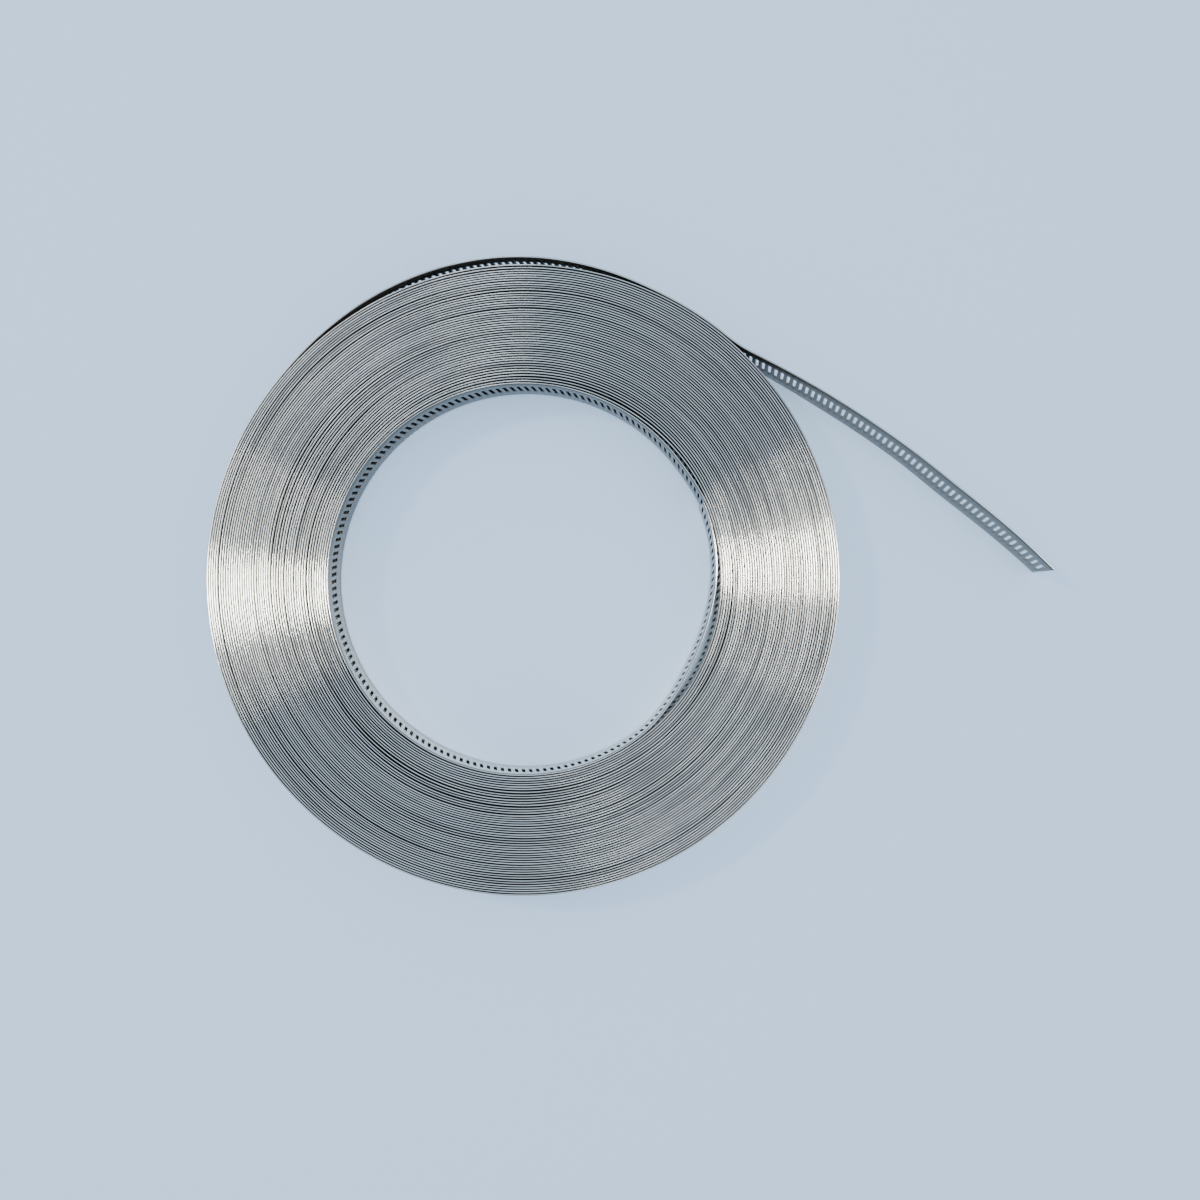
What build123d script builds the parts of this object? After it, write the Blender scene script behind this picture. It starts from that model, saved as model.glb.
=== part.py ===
"""Roll of slotted steel banding, lying flat, with a sprung start in the core and a free outer end.

Millimetres, +Z up. The coil's axis is Z and the roll lies on Z = 0. The free end points to +X.
"""

import os
from math import atan, cos, degrees, radians, sin

from build123d import *

# The band: one strip of spring steel with a row of slanted slots along its middle
band_width = 12.7
band_thickness = 0.6
edge_ease = 0.15
slot_pitch = 2.1
slot_length = 6.4
slot_width = 1.05
slot_slant = 9.0

# The coil: turns wound on a round mandrel
core_radius = 57.0
turn_pitch = 0.7
turn_count = 50
coil_radius = core_radius + turn_count * turn_pitch

# Open gaps between groups of turns, seen on both ends of the coil
turns_per_group = 8
gap_width = 0.45
gap_depth = 0.6

# How deep a loose length is rooted in the turns that hold it
root_depth = 1.0

# Sprung start: the first length bows off the core's wall, flatter than the wall itself
start_angle = 23.0
start_span = 77.0
start_bow = 2.4
start_clear_share = 0.72

# Loose outer lap: it stands off the coil in a low crescent
lap_angle = 97.0
lap_half_span = 34.0
lap_stand_off = 1.8
lap_rise_radius = 150.0
lap_clear_share = 0.97

# Free end: a short reverse bend away from the coil, then a long easy curve
tail_angle = 50.3
tail_bend_radius = 15.0
tail_bend_turn = 13.7
tail_radius = 340.0
tail_length = 113.5
tail_end_margin = 1.6
tail_plain_root = 8.0


def polar(radius, angle):
    return (radius * cos(radians(angle)), radius * sin(radians(angle)))


# Section of the coil: square turns with eased rims and open gaps on both ends
lower_end = [(core_radius + edge_ease, 0.0)]
for group in range(1, turn_count // turns_per_group):
    gap_radius = core_radius + group * turns_per_group * turn_pitch
    lower_end.append((gap_radius - gap_width / 2, 0.0))
    lower_end.append((gap_radius, gap_depth))
    lower_end.append((gap_radius + gap_width / 2, 0.0))
lower_end.append((coil_radius - edge_ease, 0.0))
outer_wall = [(coil_radius, edge_ease), (coil_radius, band_width - edge_ease)]
upper_end = [(radius, band_width - height) for radius, height in reversed(lower_end)]
inner_wall = [(core_radius, band_width - edge_ease), (core_radius, edge_ease)]

# Line of the sprung start: one arc from the strip's inner end to where it beds on the wall
bed_radius = core_radius + root_depth
start_end_angle = start_angle - start_span
with BuildLine() as start_line:
    start_arc = ThreePointArc(
        polar(bed_radius, start_angle),
        polar(core_radius + band_thickness / 2 - start_bow, start_angle - start_span / 2),
        polar(bed_radius, start_end_angle),
    )

# Line of the loose lap: rise, crown and settle arcs, tangent to each other and even about lap_angle
lap_root_radius = coil_radius - root_depth
lap_crest_radius = coil_radius + lap_stand_off + band_thickness / 2
lap_offset = lap_rise_radius - lap_root_radius
lap_crown_half = 2 * degrees(
    atan(
        (lap_rise_radius - lap_crest_radius - lap_offset * cos(radians(lap_half_span)))
        / (lap_offset * sin(radians(lap_half_span)))
    )
)
lap_crown_radius = lap_rise_radius - lap_offset * sin(radians(lap_half_span)) / sin(radians(lap_crown_half))
lap_rise_turn = lap_half_span - lap_crown_half
lap_start_angle = lap_angle + lap_half_span
with BuildLine() as lap_line:
    lap_rise = JernArc(
        polar(lap_root_radius, lap_start_angle),
        polar(1, lap_start_angle - 90),
        lap_rise_radius,
        -lap_rise_turn,
    )
    lap_crown = JernArc(lap_rise @ 1, lap_rise % 1, lap_crown_radius, -2 * lap_crown_half)
    lap_settle = JernArc(lap_crown @ 1, lap_crown % 1, lap_rise_radius, -lap_rise_turn)

# Line of the free end
with BuildLine() as tail_line:
    tail_bend = JernArc(
        polar(coil_radius - root_depth, tail_angle),
        polar(1, tail_angle - 90),
        tail_bend_radius,
        tail_bend_turn,
    )
    tail_sweep = JernArc(tail_bend @ 1, tail_bend % 1, tail_radius, -degrees(tail_length / tail_radius))


def even_slots(arc, clear_share):
    # Places of the slots along the share of an arc that stands clear of the coil, even about its middle
    count = int(clear_share * arc.length / slot_pitch)
    return [arc.length / 2 + (i - (count - 1) / 2) * slot_pitch for i in range(count)]


# Slots of the free end are counted back from its cut
start_slots = even_slots(start_arc, start_clear_share)
lap_slots = even_slots(lap_crown, lap_clear_share)
tail_slot_count = 1 + int((tail_length - tail_end_margin - tail_plain_root) / slot_pitch)
tail_slots = [tail_length - tail_end_margin - i * slot_pitch for i in range(tail_slot_count)]


def slotted_length(line, arc, slots):
    # A length of the strip, on edge along its line, with slots cut through it along one of the line's arcs
    slot_faces = []
    for slot in slots:
        along = arc % (slot / arc.length)
        centre = arc @ (slot / arc.length) + Vector(0, 0, band_width / 2)
        slot_faces.append(Plane(origin=centre, x_dir=along, z_dir=along.cross(Vector(0, 0, 1))))
    with BuildPart() as length:
        with BuildSketch(Plane.XY):
            add(trace(line.edges(), line_width=band_thickness))
        extrude(amount=band_width)
        with BuildSketch(*slot_faces):
            Rectangle(slot_width, slot_length, rotation=slot_slant)
        extrude(amount=band_thickness, both=True, mode=Mode.SUBTRACT)
    return length.part


with BuildPart() as steel_banding:
    # Coil
    with BuildSketch(Plane.XZ):
        with BuildLine():
            Polyline(*lower_end, *outer_wall, *upper_end, *inner_wall, close=True)
        make_face()
    revolve(axis=Axis.Z)

    # Loose lengths of the same strip
    add(slotted_length(start_line, start_arc, start_slots))
    add(slotted_length(lap_line, lap_crown, lap_slots))
    add(slotted_length(tail_line, tail_sweep, tail_slots))

steel_banding.part.label = "steel_banding"
os.makedirs("parts", exist_ok=True)
export_step(steel_banding.part, "parts/steel_banding.step")
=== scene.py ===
import bpy
import math
import numpy as np
from mathutils import Euler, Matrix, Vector


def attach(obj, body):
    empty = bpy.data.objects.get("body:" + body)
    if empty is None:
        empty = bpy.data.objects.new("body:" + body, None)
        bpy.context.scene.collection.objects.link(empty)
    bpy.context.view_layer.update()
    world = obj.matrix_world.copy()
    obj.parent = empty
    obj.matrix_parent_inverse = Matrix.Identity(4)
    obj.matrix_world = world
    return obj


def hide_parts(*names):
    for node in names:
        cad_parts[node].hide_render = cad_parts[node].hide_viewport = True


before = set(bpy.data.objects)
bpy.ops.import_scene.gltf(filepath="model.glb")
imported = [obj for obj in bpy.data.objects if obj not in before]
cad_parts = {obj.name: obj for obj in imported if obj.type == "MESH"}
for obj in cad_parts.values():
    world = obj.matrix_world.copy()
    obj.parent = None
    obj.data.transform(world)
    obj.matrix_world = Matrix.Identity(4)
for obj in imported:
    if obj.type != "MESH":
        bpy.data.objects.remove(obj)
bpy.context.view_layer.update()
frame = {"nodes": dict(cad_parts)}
mm = 0.001
print("frame loaded:", ", ".join(frame["nodes"]))

# millimetres and degrees; the strip runs clockwise from its start in the core out to its free end
winding = {
    "bandWidth": 12.7,
    "bandThickness": 0.6,
    "edgeRound": 0.29,
    "coreRadius": 57.0,
    "coilRadius": 92.0,
    "wholeTurns": 50,
    "startAngle": 23.0,
    "startSpan": 77.0,      # length of the sprung start, as an angle
    "startBow": 2.1,        # how far it bows into the core, how late along that length, and how sharply
    "startSkew": 1.36,
    "startEase": 1.6,
    "lapAngle": 97.0,       # crown of the loose outer lap
    "lapRise": 43.0,        # angle over which it lifts off, and then settles
    "lapSettle": 33.0,
    "lapStandOff": 1.8,
    "lapEase": 1.3,
    "climbTurns": 14,       # turns over which the step at the start wears off
    "firstClimb": 0.03,     # share of the first turn that climbs over that step
    "gapSpread": 0.02,      # uneven gaps between turns, in a few waves that weaken as they shorten
    "gapWaves": 6,
    "gapFall": 0.4,
    "leastGap": 0.045,
    "sprungGap": 0.18,      # wider gap where a turn has sprung away from the next
    "sprungShare": 0.6,     # share of the turns with such a place
    "sprungReach": (0.07, 0.2),     # how far it reaches either way, as a share of the turn
    "edgeWander": 0.10,     # how far the edges stand up and down, and how often in a turn
    "edgeWaves": 3,
    "pointsPerTurn": 720,
    "smoothing": 25,        # points
    "columnStep": 1.95,     # length of a facet on the turns without slots
    "sharpFrom": 50.0,      # angle from which an edge is shaded sharp
    "seed": 11,
}

freeEnd = {
    "rootRadius": 91.0,     # a tight bend at the root, then one long sweep
    "angle": 50.3,
    "rootBend": 15.0,
    "rootTurn": 13.7,
    "sweepRadius": 340.0,
    "sweepLength": 113.0,
    "easeRadius": 45.0,     # reverse bend where the strip lifts off the coil
    "share": (0.0, 0.2, 0.5, 0.66, 0.86, 1.0),      # places along the sweep
    "swing": (0.0, -0.6, -0.7, -1.3, -0.35, 0.3),   # how far the slack strip swings off its arc there
    "lean": (0.0, 3.5, 3.5, 4.5, 3.0, 0.5),         # and how far its top leans out
    "easePoints": 24,
    "sweepPoints": 240,
    "smoothing": 49,        # points
    "settle": 20.0,         # length over which its edges come level
}


def polar(radius, degrees):
    angle = math.radians(degrees)
    return np.array([radius * math.cos(angle), radius * math.sin(angle)])


def bearing(point):
    return math.degrees(math.atan2(point[1], point[0]))


def leftOf(heading):
    return np.array([-math.sin(math.radians(heading)), math.cos(math.radians(heading))])


def takeOff():
    # centres of the free end's sweep and of the ease between it and the coil, and where the sweep ends
    f = freeEnd
    heading = f["angle"] - 90
    bendCentre = polar(f["rootRadius"], f["angle"]) + f["rootBend"] * leftOf(heading)
    heading += f["rootTurn"]
    sweepStart = bendCentre - f["rootBend"] * leftOf(heading)
    sweepCentre = sweepStart - f["sweepRadius"] * leftOf(heading)
    endBearing = heading + 90 - math.degrees(f["sweepLength"] / f["sweepRadius"])
    # the ease touches both circles from outside
    near = winding["coilRadius"] - winding["bandThickness"] / 2 + f["easeRadius"]
    far = f["sweepRadius"] + f["easeRadius"]
    apart = np.hypot(*sweepCentre)
    axis = sweepCentre / apart
    across = np.array([-axis[1], axis[0]])
    along = (near ** 2 - far ** 2 + apart ** 2) / (2 * apart)
    aside = math.sqrt(near ** 2 - along ** 2)
    choices = [axis * along + across * aside, axis * along - across * aside]
    easeCentre = min(choices, key=lambda centre: abs(bearing(centre) - f["angle"]))
    return sweepCentre, easeCentre, endBearing


def smoothed(values, width):
    # running mean under a bell, with the ends kept
    bell = np.hanning(width)
    half = width // 2
    before = 2 * values[0] - values[half:0:-1]
    after = 2 * values[-1] - values[-2:-half - 2:-1]
    return np.convolve(np.concatenate([before, values, after]), bell / bell.sum(), "valid")


def turnDrift(rng, step):
    # gaps open and close a little along each turn, and add up outwards
    w = winding
    grid = np.linspace(0, 1, w["pointsPerTurn"] + 1)
    waves = np.arange(1, w["gapWaves"] + 1)
    size = rng.normal(0, w["gapSpread"], (w["wholeTurns"], len(waves))) / waves ** w["gapFall"]
    size[0] = 0
    gaps = (size[:, :, None] * np.sin(math.pi * waves[:, None] * grid)[None]).sum(1)
    sprung = rng.uniform(size=w["wholeTurns"]) < w["sprungShare"]
    for k in np.flatnonzero(sprung)[1:]:
        reach = rng.uniform(*w["sprungReach"])
        place = rng.uniform(reach, 1 - reach)
        gaps[k] += w["sprungGap"] * np.cos(math.pi / 2 * np.clip((grid - place) / reach, -1, 1)) ** 2
    room = step - w["bandThickness"]
    drift = np.cumsum(np.maximum(gaps, w["leastGap"] - room), 0)
    # the outermost turn stays where it is
    share = np.arange(w["wholeTurns"])[:, None] / (w["wholeTurns"] - 1)
    return drift - share * drift[-1]


def turnRadius(n, rng):
    # radius of the strip's middle line at n turns from its start
    w = winding
    first = w["coreRadius"] - w["bandThickness"] / 2
    last = w["coilRadius"] - w["bandThickness"] / 2
    step = (last - first) / n[-1]
    turn = np.minimum(np.floor(n), w["wholeTurns"] - 1).astype(int)
    part = n - turn
    climb = np.minimum(1, w["firstClimb"] + turn / w["climbTurns"])
    radius = first + step * (turn + np.clip((part - 1 + climb) / climb, 0, 1))
    drift = turnDrift(rng, step)
    at = part * w["pointsPerTurn"]
    low = np.minimum(at.astype(int), w["pointsPerTurn"] - 1)
    return radius + (drift[turn, low] * (1 - at + low) + drift[turn, low + 1] * (at - low))


def looseLine(sweepCentre, easeCentre, endBearing):
    # plan of the lift-off and the free end, and how far the free end's top leans out
    f = freeEnd
    bendFrom = bearing(easeCentre) + 180
    bendTo = bearing(sweepCentre - easeCentre)
    bendTo += 360 * round((bendFrom - bendTo) / 360)
    bends = np.linspace(bendFrom, bendTo, f["easePoints"])[1:]
    line = [easeCentre + polar(f["easeRadius"], bend) for bend in bends]
    sweepFrom = bearing(easeCentre - sweepCentre)
    share = np.linspace(0, 1, f["sweepPoints"])[1:]
    swing = smoothed(np.interp(share, f["share"], f["swing"]), f["smoothing"])
    lean = smoothed(np.interp(share, f["share"], f["lean"]), f["smoothing"])
    for s, aside in zip(share, swing):
        line.append(sweepCentre + polar(f["sweepRadius"] + aside, sweepFrom + (endBearing - sweepFrom) * s))
    return np.array(line), lean


def edgeRise(n, past, rng):
    # edges wander up and down along the winding, and come level on the free end
    w = winding
    knots = rng.uniform(0, 1, int(n[-1] * w["edgeWaves"]) + 2)
    place = n * w["edgeWaves"]
    i = place.astype(int)
    t = place - i
    t = t * t * (3 - 2 * t)
    rise = 2 * w["edgeWander"] * (knots[i] * (1 - t) + knots[i + 1] * t)
    return np.concatenate([rise, rise[-1] * np.exp(-past / freeEnd["settle"])])


def windingLine():
    # plan of the whole strip's middle line, and how its edges stand along it
    w = winding
    rng = np.random.default_rng(w["seed"])
    sweepCentre, easeCentre, endBearing = takeOff()
    leaveAngle = bearing(easeCentre)
    turns = w["wholeTurns"] + (w["startAngle"] - leaveAngle) / 360
    n = np.linspace(0, turns, int(turns * w["pointsPerTurn"]) + 1)
    radius = turnRadius(n, rng)
    # sprung start
    share = np.minimum(n * 360 / w["startSpan"], 1)
    radius -= w["startBow"] * np.abs(np.sin(math.pi * share ** w["startSkew"])) ** w["startEase"]
    # loose outer lap
    share = leaveAngle + (turns - n) * 360 - w["lapAngle"]
    share = np.clip(np.where(share > 0, share / w["lapRise"], share / w["lapSettle"]), -1, 1)
    radius += w["lapStandOff"] * np.cos(math.pi / 2 * share) ** w["lapEase"]
    radius = smoothed(radius, w["smoothing"])

    phi = np.radians(w["startAngle"] - 360 * n)
    wound = np.stack([radius * np.cos(phi), radius * np.sin(phi)], 1)
    loose, lean = looseLine(sweepCentre, easeCentre, endBearing)
    line = np.concatenate([wound, loose])
    along = np.concatenate([[0], np.cumsum(np.hypot(*np.diff(line, axis=0).T))])
    heading = np.gradient(line, along, axis=0)
    heading /= np.hypot(*heading.T)[:, None]
    past = along[len(n):] - along[len(n) - 1]
    return {
        "line": line,
        "along": along,
        "heading": heading,
        "rise": edgeRise(n, past, rng),
        "tilt": np.concatenate([np.zeros(len(line) - len(lean)), np.tan(np.radians(lean))]),
        "turn": np.concatenate([n, turns + past * mm]),     # keeps rising a little on the free end
        "turns": turns,
    }


strip = windingLine()
print("strip: %.2f m long, %.2f turns" % (strip["along"][-1] * mm, strip["turns"]))


def onStrip(along, values):
    return np.interp(along, strip["along"], values)


def placeOnStrip(along, out, height):
    # strip coordinates (along it, outwards through it, up its width) to the frame
    x = onStrip(along, strip["line"][:, 0])
    y = onStrip(along, strip["line"][:, 1])
    headingX = onStrip(along, strip["heading"][:, 0])
    headingY = onStrip(along, strip["heading"][:, 1])
    z = height + onStrip(along, strip["rise"])
    out = out + height * onStrip(along, strip["tilt"])
    return np.stack([x - headingY * out, y + headingX * out, z], -1) * mm


# how bright the sides of the strip are, from the dark oil colour at 0 to bare steel at 1: partly real oil,
# partly painted light and painted shade set place by place
oilAndPaintedLight = {
    "coreTurn": (0.05, 0.2, 0.42, 0.62, 0.75),      # places along the first turn
    "coreSide": (0.4, 1.0, 1.0, 0.08, 0.08),        # its inner side there: painted light on one side of the bore and painted shade on the other
    "coreSlots": (0.0, 0.0, 0.7, 0.7, 0.1),         # its slots there, and the turn seen through them: painted light on slot walls that face the light, painted shade elsewhere
    # painted light on the sides in the gap behind the sprung start
    "behindStart": 0.8,
    "outside": 0.3,
    # painted shade on the inner side of the loose outer lap
    "lapInside": 0.3,
    "freeEnd": (0.0, 0.12),                         # at the coil and at the tip: painted shade at the coil that lightens towards the tip
    "freeEndSlots": 0.15,
}


def oilAndPaintedLightAt(along, out):
    # how bright each point is: painted light where the strip has sprung open, the dark oil colour inside the
    # winding, with painted shade on sides that lie in shade
    c = oilAndPaintedLight
    turn = onStrip(along, strip["turn"])
    start = winding["startSpan"] / 360
    lastTurn = strip["turns"] - 1
    inside = out < 0
    inSlot = np.abs(out) < winding["bandThickness"] / 2 - slotRow["lipDepth"] / 2
    onEnd = turn > strip["turns"]
    behindStart = ((turn < start) & (out > 0)) | ((turn > 1) & (turn < 1 + start) & inside)
    endFrom = np.interp(strip["turns"], strip["turn"], strip["along"])
    coreSide = np.interp(turn, c["coreTurn"], c["coreSide"])
    coreSlots = np.where(turn < 2, np.interp(turn % 1, c["coreTurn"], c["coreSlots"]), 0)
    endSides = np.interp(along, [endFrom, strip["along"][-1]], c["freeEnd"])
    shares = [      # the first place that holds a point counts
        (inSlot & onEnd, c["freeEndSlots"]),
        (inSlot, coreSlots),
        (behindStart, c["behindStart"]),
        ((turn > 1) & (turn < 2) & inside, coreSlots),
        ((turn < 1) & inside, coreSide),
        ((turn > lastTurn) & (out > 0), c["outside"]),
        (onEnd, endSides),
        ((turn > lastTurn) & inside, c["lapInside"]),
    ]
    bareOrLit = np.select([place for place, _ in shares], [share for _, share in shares], 0.0)
    return bareOrLit.astype(np.float32)


crestPoints = 3     # points over each rounded edge of the section


def bandSection(rows):
    # once round the strip: up the outer side, over the top edge, down the inner side, under the bottom edge
    half = winding["bandThickness"] / 2
    bead = winding["edgeRound"]
    top = winding["bandWidth"] - 2 * winding["edgeWander"]
    slope = bead * math.sqrt(0.5)
    crest = [half - bead + slope, 0.0, -(half - bead + slope)]
    lift = [slope, bead, slope]
    side = [bead] + rows + [top - bead]
    out = [half] * len(side) + crest + [-half] * len(side) + [-c for c in crest]
    high = side + [top - bead + h for h in lift] + side[::-1] + [bead - h for h in lift]
    return np.array(out), np.array(high)


def sectionFacets(points):
    # facets of the section, for that many points on a side: both sides from the bottom up, and the edges
    outer = np.arange(points - 1)
    inner = outer[::-1] + points + crestPoints
    edges = np.setdiff1d(np.arange(2 * (points + crestPoints)), np.concatenate([outer, inner]))
    return outer, inner, edges


def ringFaces(columns, count, facets):
    # quads between neighbouring columns for the given facets of the section
    a = columns[:, None] * count
    i = np.asarray(facets)[None]
    j = (i + 1) % count
    return np.stack([a + j, a + count + j, a + count + i, a + i], -1).reshape(-1, 4)


def endCaps(columns, count):
    ring = np.arange(count)
    return [ring[::-1][None], (columns - 1) * count + ring[None]]


def meshPiece(name, runs, faces):
    # runs: where each point lies on the strip; faces: arrays of point numbers, each with its finish
    used = np.unique(np.concatenate([f.ravel() for f, _ in faces]))
    number = np.full(len(runs), -1)
    number[used] = np.arange(len(used))
    runs = runs[used]
    places = placeOnStrip(runs[:, 0], runs[:, 2], runs[:, 1])
    corners = np.concatenate([number[f].ravel() for f, _ in faces])
    sizes = np.concatenate([np.full(len(f), f.shape[1]) for f, _ in faces])
    starts = np.concatenate([[0], np.cumsum(sizes)[:-1]])
    finish = np.concatenate([np.full(len(f), m) for f, m in faces])

    mesh = bpy.data.meshes.new(name)
    mesh.vertices.add(len(used))
    mesh.vertices.foreach_set("co", places.astype(np.float32).ravel())
    mesh.loops.add(len(corners))
    mesh.loops.foreach_set("vertex_index", corners.astype(np.int32))
    mesh.polygons.add(len(sizes))
    mesh.polygons.foreach_set("loop_start", starts.astype(np.int32))
    mesh.polygons.foreach_set("material_index", finish.astype(np.int32))
    mesh.polygons.foreach_set("use_smooth", np.ones(len(sizes), bool))
    mesh.update(calc_edges=True)
    run = mesh.attributes.new("bandRun", "FLOAT_VECTOR", "POINT")
    run.data.foreach_set("vector", (runs * mm).astype(np.float32).ravel())
    bareOrLit = mesh.attributes.new("bandOilAndLight", "FLOAT", "POINT")
    bareOrLit.data.foreach_set("value", oilAndPaintedLightAt(runs[:, 0], runs[:, 2]))
    mesh.set_sharp_from_angle(angle=math.radians(winding["sharpFrom"]))
    for material in finishes:
        mesh.materials.append(material)
    piece = bpy.data.objects.new(name, mesh)
    bpy.context.scene.collection.objects.link(piece)
    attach(piece, "root")
    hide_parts("steel_banding")
    print("%s: %d triangles" % (name, (sizes - 2).sum()))
    return piece


def stripPoints(at, high, out):
    return np.stack(np.broadcast_arrays(at, high, out), -1)


def plainTurns(name, start, end):
    # wound turns whose sides are hidden
    out, high = bandSection([])
    count = len(out)
    outer, inner, edges = sectionFacets(2)
    columns = int((end - start) / winding["columnStep"]) + 2
    along = np.linspace(start, end, columns)
    runs = stripPoints(along[:, None], high[None], out[None]).reshape(-1, 3)
    every = np.arange(columns - 1)
    faces = [
        (ringFaces(every, count, np.concatenate([outer, inner])), faceFinish),
        (ringFaces(every, count, edges), edgeFinish),
    ]
    faces += [(cap, cutFinish) for cap in endCaps(columns, count)]
    return meshPiece(name, runs, faces)


# millimetres and degrees
slotRow = {
    "pitch": 2.1,
    "length": 6.4,
    "width": 1.05,
    "slant": 9.0,
    "corner": 0.22,
    "lipEnd": 0.75,         # rolled-over edge at the slot's ends, along its sides, and its depth
    "lipSide": 0.07,
    "lipDepth": 0.20,
    "endMargin": 1.6,       # from the strip's ends to the middle of the nearest slot
    "jointShare": 0.76,     # from the ends of a piece to its nearest slot at least, as a share of the pitch
    "innerTurns": 2.0,      # turns at the core with real slots
    "outerTurns": 2.0,      # turns at the outside with real slots
}

# points of a slot's rim, once round, as column and row; and the corners that the slot leaves of its cell
slotRim = [(1, 2), (1, 3), (2, 4), (3, 4), (4, 3), (4, 2), (3, 1), (2, 1)]
slotCorners = [
    ((1, 1), (2, 1), (1, 2)),
    ((1, 3), (2, 4), (1, 4)),
    ((3, 1), (4, 1), (4, 2)),
    ((4, 3), (4, 4), (3, 4)),
]


def slottedTurns(name, start, end, anySlot):
    # strip with its slots cut right through, from start to end; anySlot is the middle of one of them
    s = slotRow
    middle = winding["bandWidth"] / 2 - winding["edgeWander"]
    height = s["length"] / 2
    half = s["width"] / 2
    slant = math.tan(math.radians(s["slant"]))
    rows = [middle - height, middle - height + s["corner"], middle + height - s["corner"], middle + height]
    out, high = bandSection(rows)
    count = len(out)
    clear = s["pitch"] * s["jointShare"]
    first = math.ceil((start + clear - anySlot) / s["pitch"])
    last = math.floor((end - clear - anySlot) / s["pitch"])
    middles = anySlot + s["pitch"] * np.arange(first, last + 1)
    columns = np.array([-s["pitch"] / 2, -half, -half + s["corner"], half - s["corner"], half])
    along = (middles[:, None] + columns[None]).ravel()
    along = np.concatenate([[start], along, [middles[-1] + s["pitch"] / 2, end]])
    slants = np.full(len(along), slant)
    slants[[0, -1]] = 0
    at = along[:, None] - slants[:, None] * np.clip(high - middle, -height, height)[None]
    runs = stripPoints(at, high[None], out[None]).reshape(-1, 3)

    # the slot's own opening lies inside its rim on each side, a lip's depth down
    shareHigh = 1 - s["lipEnd"] / height
    shareAlong = 1 - s["lipSide"] / half
    ringHigh = np.array([middle + (rows[row - 1] - middle) * shareHigh for _, row in slotRim])
    ringAlong = np.array([columns[column] * shareAlong for column, _ in slotRim])
    ringAt = middles[:, None] + (ringAlong - slant * (ringHigh - middle))[None]
    depth = winding["bandThickness"] / 2 - s["lipDepth"]
    rings = [stripPoints(ringAt, ringHigh[None], side) for side in (depth, -depth)]
    ringBase = len(runs)
    runs = np.concatenate([runs, np.stack(rings, 1).reshape(-1, 3)])

    points = len(rows) + 2
    outer, inner, edges = sectionFacets(points)
    cell = 1 + len(columns) * np.arange(len(middles))

    def spot(column, row, side):
        point = row if side == 0 else 2 * points + crestPoints - 1 - row
        return (cell + column) * count + point

    solid = np.concatenate([[0], cell, cell + len(columns) - 1, [len(along) - 2]])
    opened = np.concatenate([cell + 1, cell + 2, cell + 3])
    sides = [ringFaces(solid, count, np.concatenate([outer, inner]))]
    sides.append(ringFaces(opened, count, [outer[0], outer[-1], inner[0], inner[-1]]))
    for side in (0, 1):
        for corner in slotCorners:
            face = np.stack([spot(column, row, side) for column, row in corner], -1)
            sides.append(face[:, ::-1] if side == 0 else face)
    lips = []
    walls = []
    rimCount = len(slotRim)
    ringFirst = ringBase + 2 * rimCount * np.arange(len(middles))
    for i in range(rimCount):
        j = (i + 1) % rimCount
        outerRing = [ringFirst + i, ringFirst + j]
        innerRing = [ringFirst + rimCount + i, ringFirst + rimCount + j]
        lips.append(np.stack([spot(*slotRim[i], 0), spot(*slotRim[j], 0), outerRing[1], outerRing[0]], -1))
        walls.append(np.stack([*outerRing, innerRing[1], innerRing[0]], -1))
        lips.append(np.stack([*innerRing, spot(*slotRim[j], 1), spot(*slotRim[i], 1)], -1))
    # the lips are as clean as the sides, but those of the sprung start get painted shade in the darker cut
    # finish
    inStart = onStrip(middles, strip["turn"]) < winding["startSpan"] / 360
    cleanLips = [lip[~inStart] for lip in lips]
    shadedStartLips = [lip[inStart] for lip in lips]
    faces = [(f, faceFinish) for f in sides + cleanLips]
    faces.append((ringFaces(np.arange(len(along) - 1), count, edges), edgeFinish))
    faces += [(f, cutFinish) for f in shadedStartLips + walls + endCaps(len(along), count)]
    return meshPiece(name, runs, faces)


def nodeGroup(name, inputs, outputs):
    group = bpy.data.node_groups.new(name, "ShaderNodeTree")
    for label, kind, value in inputs:
        socket = group.interface.new_socket(label, in_out="INPUT", socket_type=kind)
        if value is not None:
            socket.default_value = value
    for label, kind in outputs:
        group.interface.new_socket(label, in_out="OUTPUT", socket_type=kind)
    return group, group.nodes.new("NodeGroupInput"), group.nodes.new("NodeGroupOutput")


def addNode(tree, kind, **settings):
    # settings named as an input set that input, and the others set the node
    node = tree.nodes.new(kind)
    for key, value in settings.items():
        if key in node.inputs:
            node.inputs[key].default_value = value
        else:
            setattr(node, key, value)
    return node


def addRange(tree, fromRange, toRange=(0.0, 1.0), smooth=False):
    node = addNode(tree, "ShaderNodeMapRange", interpolation_type="SMOOTHSTEP" if smooth else "LINEAR")
    node.inputs["From Min"].default_value, node.inputs["From Max"].default_value = fromRange
    node.inputs["To Min"].default_value, node.inputs["To Max"].default_value = toRange
    return node


def addNoise(tree, noise, dimensions="3D"):
    detail, roughness = noise
    node = addNode(tree, "ShaderNodeTexNoise", noise_dimensions=dimensions, Scale=1.0)
    node.inputs["Detail"].default_value = detail
    node.inputs["Roughness"].default_value = roughness
    return node


def addMath(tree, operation, first, second=None):
    # either side is a number or another node's output
    node = addNode(tree, "ShaderNodeMath", operation=operation)
    for socket, value in zip(node.inputs, (first, second)):
        if isinstance(value, (int, float)):
            socket.default_value = value
        elif value is not None:
            tree.links.new(value, socket)
    return node.outputs[0]


lineLook = {
    "softness": 0.2,                    # half the range of the noise that makes a line's edge
    "noise": (3.0, 0.6),                # detail and roughness
    "patchScale": (22.0, 60.0, 60.0),   # per metre along the strip, up it and through it
    "patchNoise": (4.0, 0.55),
}


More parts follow.
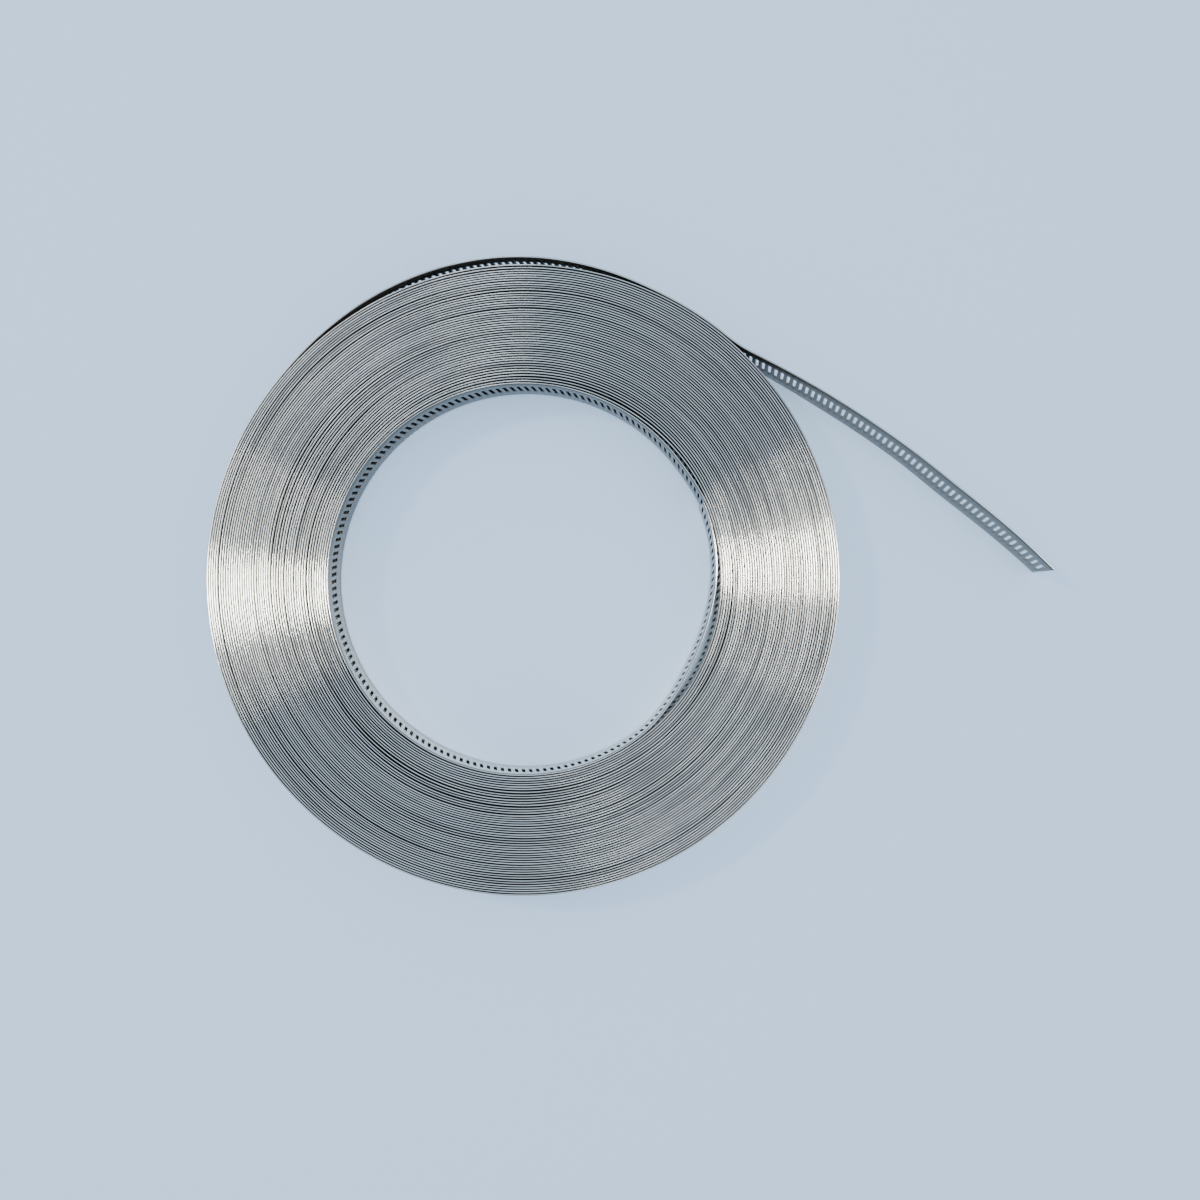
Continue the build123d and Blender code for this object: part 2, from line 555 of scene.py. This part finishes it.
def rollingLines():
    # fine lines drawn out along the strip by the rolls, read in the strip's own coordinates
    group, given, made = nodeGroup(
        "rollingLines",
        [
            ("Run", "NodeSocketVector", None),
            ("Length", "NodeSocketFloat", 30.0),
            ("Across", "NodeSocketFloat", 9000.0),
            ("Softness", "NodeSocketFloat", lineLook["softness"]),
        ],
        [("Lines", "NodeSocketFloat"), ("Patches", "NodeSocketFloat")],
    )
    link = group.links.new
    stretch = addNode(group, "ShaderNodeCombineXYZ")
    link(given.outputs["Length"], stretch.inputs["X"])
    link(given.outputs["Across"], stretch.inputs["Y"])
    link(given.outputs["Across"], stretch.inputs["Z"])
    drawn = addNode(group, "ShaderNodeVectorMath", operation="MULTIPLY")
    link(given.outputs["Run"], drawn.inputs[0])
    link(stretch.outputs[0], drawn.inputs[1])
    lines = addNoise(group, lineLook["noise"])
    link(drawn.outputs[0], lines.inputs["Vector"])
    contrast = addRange(group, (0.0, 1.0), smooth=True)
    link(lines.outputs["Fac"], contrast.inputs["Value"])
    link(addMath(group, "SUBTRACT", 0.5, given.outputs["Softness"]), contrast.inputs["From Min"])
    link(addMath(group, "ADD", 0.5, given.outputs["Softness"]), contrast.inputs["From Max"])
    link(contrast.outputs["Result"], made.inputs["Lines"])

    broad = addNode(group, "ShaderNodeVectorMath", operation="MULTIPLY")
    broad.inputs[1].default_value = lineLook["patchScale"]
    link(given.outputs["Run"], broad.inputs[0])
    patches = addNoise(group, lineLook["patchNoise"])
    link(broad.outputs[0], patches.inputs["Vector"])
    link(patches.outputs["Fac"], made.inputs["Patches"])
    return group


tintLook = {
    "cool": (0.55, 0.6, 0.66, 1),
    "warm": (0.66, 0.6, 0.5, 1),
    "scale": (9.0, 40.0, 40.0),         # per metre along the strip, up it and through it
    "noise": (3.0, 0.5),                # detail and roughness
    "range": (0.38, 0.62),
}


def oilTint():
    # thin film of mill oil: slow cool and warm shifts of the bare steel
    group, given, made = nodeGroup(
        "oilTint",
        [
            ("Run", "NodeSocketVector", None),
            ("Steel", "NodeSocketColor", (0.6, 0.6, 0.6, 1)),
            ("Cool", "NodeSocketColor", tintLook["cool"]),
            ("Warm", "NodeSocketColor", tintLook["warm"]),
            ("Amount", "NodeSocketFloat", 0.5),
        ],
        [("Colour", "NodeSocketColor")],
    )
    link = group.links.new
    spread = addNode(group, "ShaderNodeVectorMath", operation="MULTIPLY")
    spread.inputs[1].default_value = tintLook["scale"]
    link(given.outputs["Run"], spread.inputs[0])
    cloud = addNoise(group, tintLook["noise"])
    link(spread.outputs[0], cloud.inputs["Vector"])
    hue = addRange(group, tintLook["range"])
    link(cloud.outputs["Fac"], hue.inputs["Value"])
    film = addNode(group, "ShaderNodeMix", data_type="RGBA")
    link(hue.outputs["Result"], film.inputs["Factor"])
    link(given.outputs["Cool"], film.inputs["A"])
    link(given.outputs["Warm"], film.inputs["B"])
    over = addNode(group, "ShaderNodeMix", data_type="RGBA")
    link(given.outputs["Amount"], over.inputs["Factor"])
    link(given.outputs["Steel"], over.inputs["A"])
    link(film.outputs["Result"], over.inputs["B"])
    link(over.outputs["Result"], made.inputs["Colour"])
    return group


flankShadeLook = {
    "crest": 0.00011,                   # half the width of the rubbed crest, and how fast it fades into the painted shade of the flanks, in metres
    "fade": 0.00006,
    "uneven": 0.5,                      # how much of that width comes and goes along the strip
    "wearScale": 14.0,                  # per metre
    "wearNoise": (4.0, 0.6),            # detail and roughness
    "wearRange": (0.32, 0.6),
}


def shadedFlanks():
    # only the crest of an edge is rubbed bright; its flanks, down in the gaps between turns, get painted
    # shade in the dark oil colour
    group, given, made = nodeGroup(
        "shadedFlanks",
        [
            ("Run", "NodeSocketVector", None),
            ("Crest", "NodeSocketFloat", flankShadeLook["crest"]),
            ("Fade", "NodeSocketFloat", flankShadeLook["fade"]),
            ("Uneven", "NodeSocketFloat", flankShadeLook["uneven"]),
        ],
        [("Unshaded", "NodeSocketFloat")],
    )
    link = group.links.new
    split = addNode(group, "ShaderNodeSeparateXYZ")
    link(given.outputs["Run"], split.inputs[0])
    side = addMath(group, "ABSOLUTE", split.outputs["Z"])
    along = addMath(group, "MULTIPLY", split.outputs["X"], flankShadeLook["wearScale"])
    wear = addNoise(group, flankShadeLook["wearNoise"], "1D")
    link(along, wear.inputs["W"])
    less = addRange(group, flankShadeLook["wearRange"])
    link(wear.outputs["Fac"], less.inputs["Value"])
    link(addMath(group, "SUBTRACT", 1.0, given.outputs["Uneven"]), less.inputs["To Min"])
    width = addMath(group, "MULTIPLY", given.outputs["Crest"], less.outputs["Result"])
    unshaded = addRange(group, (0.0, 1.0), (1.0, 0.0), smooth=True)
    link(addMath(group, "SUBTRACT", side, width), unshaded.inputs["Value"])
    link(given.outputs["Fade"], unshaded.inputs["From Max"])
    link(unshaded.outputs["Result"], made.inputs["Unshaded"])
    return group


# colours bare and oily (the oily colour also serves as painted shade), roughness where least and most,
# rolling lines per metre, oil film and bump
finishLook = {
    "face": {
        "steel": (0.84, 0.76, 0.64, 1), "oilAndShade": (0.108, 0.096, 0.082, 1), "rough": (0.24, 0.36),
        "lineLength": 25.0, "lineAcross": 5200.0, "film": 0.3, "bump": 0.10,
    },
    "edge": {
        "steel": (0.88, 0.85, 0.80, 1), "oilAndShade": (0.07, 0.068, 0.06, 1), "rough": (0.09, 0.16),
        "lineLength": 90.0, "lineAcross": 3500.0, "film": 0.2, "bump": 0.03,
    },
    "cut": {
        "steel": (0.50, 0.49, 0.47, 1), "oilAndShade": (0.03, 0.03, 0.027, 1), "rough": (0.3, 0.45),
        "lineLength": 2500.0, "lineAcross": 2500.0, "film": 0.2, "bump": 0.3,
    },
    "lineShade": 0.15,
    "patchRange": (0.3, 0.7),           # range of the patches that the roughness follows
    "bumpHeight": 0.00004,
}


def steelFinish(name, look, lines, tint, flanks=None):
    finish = bpy.data.materials.new(name)
    finish.use_nodes = True
    tree = finish.node_tree
    tree.nodes.clear()
    link = tree.links.new
    output = addNode(tree, "ShaderNodeOutputMaterial")
    steel = addNode(tree, "ShaderNodeBsdfPrincipled", Metallic=1.0)
    link(steel.outputs[0], output.inputs["Surface"])
    run = addNode(tree, "ShaderNodeAttribute", attribute_name="bandRun")
    drawn = addNode(tree, "ShaderNodeGroup", node_tree=lines)
    drawn.inputs["Length"].default_value = look["lineLength"]
    drawn.inputs["Across"].default_value = look["lineAcross"]
    film = addNode(tree, "ShaderNodeGroup", node_tree=tint)
    film.inputs["Steel"].default_value = look["steel"]
    film.inputs["Amount"].default_value = look["film"]
    link(run.outputs["Vector"], drawn.inputs["Run"])
    link(run.outputs["Vector"], film.inputs["Run"])
    shade = addNode(tree, "ShaderNodeMix", data_type="RGBA", blend_type="MULTIPLY")
    shade.inputs["Factor"].default_value = finishLook["lineShade"]
    link(film.outputs["Colour"], shade.inputs["A"])
    link(drawn.outputs["Lines"], shade.inputs["B"])
    if flanks:
        cleanOrLit = addNode(tree, "ShaderNodeGroup", node_tree=flanks).outputs["Unshaded"]
        link(run.outputs["Vector"], cleanOrLit.node.inputs["Run"])
    else:
        cleanOrLit = addNode(tree, "ShaderNodeAttribute", attribute_name="bandOilAndLight").outputs["Fac"]
    # mix towards the dark colour used for oil and for painted shade, by the share on the strip or by the
    # flanks' mask
    oiledOrShaded = addNode(tree, "ShaderNodeMix", data_type="RGBA")
    oiledOrShaded.inputs["A"].default_value = look["oilAndShade"]
    link(cleanOrLit, oiledOrShaded.inputs["Factor"])
    link(shade.outputs["Result"], oiledOrShaded.inputs["B"])
    link(oiledOrShaded.outputs["Result"], steel.inputs["Base Color"])
    rough = addRange(tree, finishLook["patchRange"], look["rough"])
    link(drawn.outputs["Patches"], rough.inputs["Value"])
    link(rough.outputs["Result"], steel.inputs["Roughness"])
    bump = addNode(tree, "ShaderNodeBump", Strength=look["bump"], Distance=finishLook["bumpHeight"])
    link(drawn.outputs["Lines"], bump.inputs["Height"])
    link(bump.outputs["Normal"], steel.inputs["Normal"])
    return finish


lineGroup = rollingLines()
tintGroup = oilTint()
finishes = [
    steelFinish("rolledFace", finishLook["face"], lineGroup, tintGroup),
    steelFinish("slitEdge", finishLook["edge"], lineGroup, tintGroup, shadedFlanks()),
    steelFinish("punchedSlot", finishLook["cut"], lineGroup, tintGroup),
]
faceFinish, edgeFinish, cutFinish = range(len(finishes))
print("finishes ready")

stripEnd = strip["along"][-1]
innerEnd = np.interp(slotRow["innerTurns"], strip["turn"], strip["along"])
outerStart = np.interp(strip["turns"] - slotRow["outerTurns"], strip["turn"], strip["along"])
halfway = (innerEnd + outerStart) / 2
firstSlot = slotRow["endMargin"]
lastSlot = stripEnd - slotRow["endMargin"]
stripPieces = [
    slottedTurns("core_turns", 0.0, innerEnd, firstSlot),
    plainTurns("inner_turns", innerEnd, halfway),
    plainTurns("outer_turns", halfway, outerStart),
    slottedTurns("outside_turns_and_free_end", outerStart, stripEnd, lastSlot),
]
print("strip wound")

# metres
stageLook = {
    "floor": (0.65, 0.79, 0.95, 1),
    "floorRough": 0.1,
    "floorReach": 1.6,
    "floorDrop": 0.00002,       # keeps the floor clear of the strip's lower edge
    "air": (0.63, 0.80, 1.0, 1),
    "airStrength": 1.15,
}


def studioFloor():
    reach = stageLook["floorReach"]
    corners = [(-reach, -reach, 0), (reach, -reach, 0), (reach, reach, 0), (-reach, reach, 0)]
    mesh = bpy.data.meshes.new("studio_floor")
    mesh.from_pydata(corners, [], [(0, 1, 2, 3)])
    floor = bpy.data.objects.new("studio_floor", mesh)
    floor.location.z = -stageLook["floorDrop"]
    bpy.context.scene.collection.objects.link(floor)
    card = bpy.data.materials.new("paleFloor")
    card.use_nodes = True
    paint = card.node_tree.nodes["Principled BSDF"]
    paint.inputs["Base Color"].default_value = stageLook["floor"]
    paint.inputs["Roughness"].default_value = stageLook["floorRough"]
    mesh.materials.append(card)


def studioAir():
    world = bpy.data.worlds.new("studioAir")
    world.use_nodes = True
    background = world.node_tree.nodes["Background"]
    background.inputs["Color"].default_value = stageLook["air"]
    background.inputs["Strength"].default_value = stageLook["airStrength"]
    bpy.context.scene.world = world


# bearings and height in degrees, distance and size in metres; "glints" lamps show only as reflections in the
# steel, in pairs that face each other across the roll, and "shade" lamps light everything but show in nothing
lampLook = {
    "overhead": {
        "bearings": [0], "height": 90, "far": 1.5, "size": (0.3, 0.3),
        "watts": 14, "colour": (0.72, 0.86, 1.0), "shows": "shade",
    },
    "lowSun": {
        "bearings": [153], "height": 39, "far": 1.6, "size": (0.16, 0.16),
        "watts": 5, "colour": (1.0, 0.95, 0.86), "shows": "shade",
    },
    "sideWindow": {
        "bearings": [5.5, 181.5], "height": 36, "far": 1.6, "size": (0.38, 0.4),
        "watts": 34, "colour": (1.0, 0.97, 0.91), "shows": "glints",
    },
    "nearSpill": {
        "bearings": [3], "height": 30, "far": 1.2, "size": (1.1, 0.35),
        "watts": 14, "colour": (1.0, 0.99, 0.96), "shows": "glints",
    },
    "farSpill": {
        "bearings": [179], "height": 30, "far": 1.2, "size": (0.95, 0.35),
        "watts": 8, "colour": (1.0, 0.99, 0.96), "shows": "glints",
    },
    "skyPanel": {
        "bearings": [-40, 140], "height": 24, "far": 1.4, "size": (1.2, 0.5),
        "watts": 6, "colour": (0.97, 0.98, 1.0), "shows": "glints",
    },
    "sunGlint": {
        "bearings": [-23, 157], "height": 39, "far": 1.6, "size": (0.06, 0.3),
        "watts": 0.25, "colour": (1.0, 0.96, 0.88), "shows": "glints",
    },
    "farLamp": {
        "bearings": [-75, 105], "height": 30, "far": 1.6, "size": (0.6, 0.3),
        "watts": 2.6, "colour": (0.96, 1.0, 0.97), "shows": "glints",
    },
}


def hangLamp(name, look, side, litSteel):
    lamp = bpy.data.lights.new(name, "AREA")
    lamp.shape = "ELLIPSE"
    lamp.size, lamp.size_y = look["size"]
    lamp.energy = look["watts"]
    lamp.color = look["colour"]
    stand = bpy.data.objects.new(name, lamp)
    stand.visible_camera = False
    stand.visible_diffuse = look["shows"] != "glints"
    stand.visible_glossy = look["shows"] != "shade"
    if look["shows"] == "glints":
        stand.light_linking.receiver_collection = litSteel
    turn = math.radians(side)
    lift = math.radians(look["height"])
    toward = Vector((math.cos(turn) * math.cos(lift), math.sin(turn) * math.cos(lift), math.sin(lift)))
    stand.location = toward * look["far"]
    stand.rotation_euler = toward.to_track_quat("Z", "Y").to_euler()
    bpy.context.scene.collection.objects.link(stand)


studioFloor()
studioAir()
glintSteel = bpy.data.collections.new("glintSteel")     # keeps the lamps' mirror images off the floor
for piece in stripPieces:
    glintSteel.objects.link(piece)
for lampName, look in lampLook.items():
    for side in look["bearings"]:
        hangLamp(lampName, look, side, glintSteel)
print("floor and lamps set")

# place in millimetres, turn in radians, lens and film in millimetres
viewLook = {
    "place": (24.28, -6.99, 266.66),
    "turn": (0.0038, 0.0077, 0.0023),
    "lens": 26.4,
    "film": 36.0,
    "nearest": 10.0,
}
camera = bpy.data.cameras.new("photoView")
camera.lens = viewLook["lens"]
camera.sensor_width = viewLook["film"]
camera.clip_start = viewLook["nearest"] * mm
viewer = bpy.data.objects.new("photoView", camera)
viewer.location = Vector(viewLook["place"]) * mm
viewer.rotation_euler = Euler(viewLook["turn"])
bpy.context.scene.collection.objects.link(viewer)
bpy.context.scene.camera = viewer
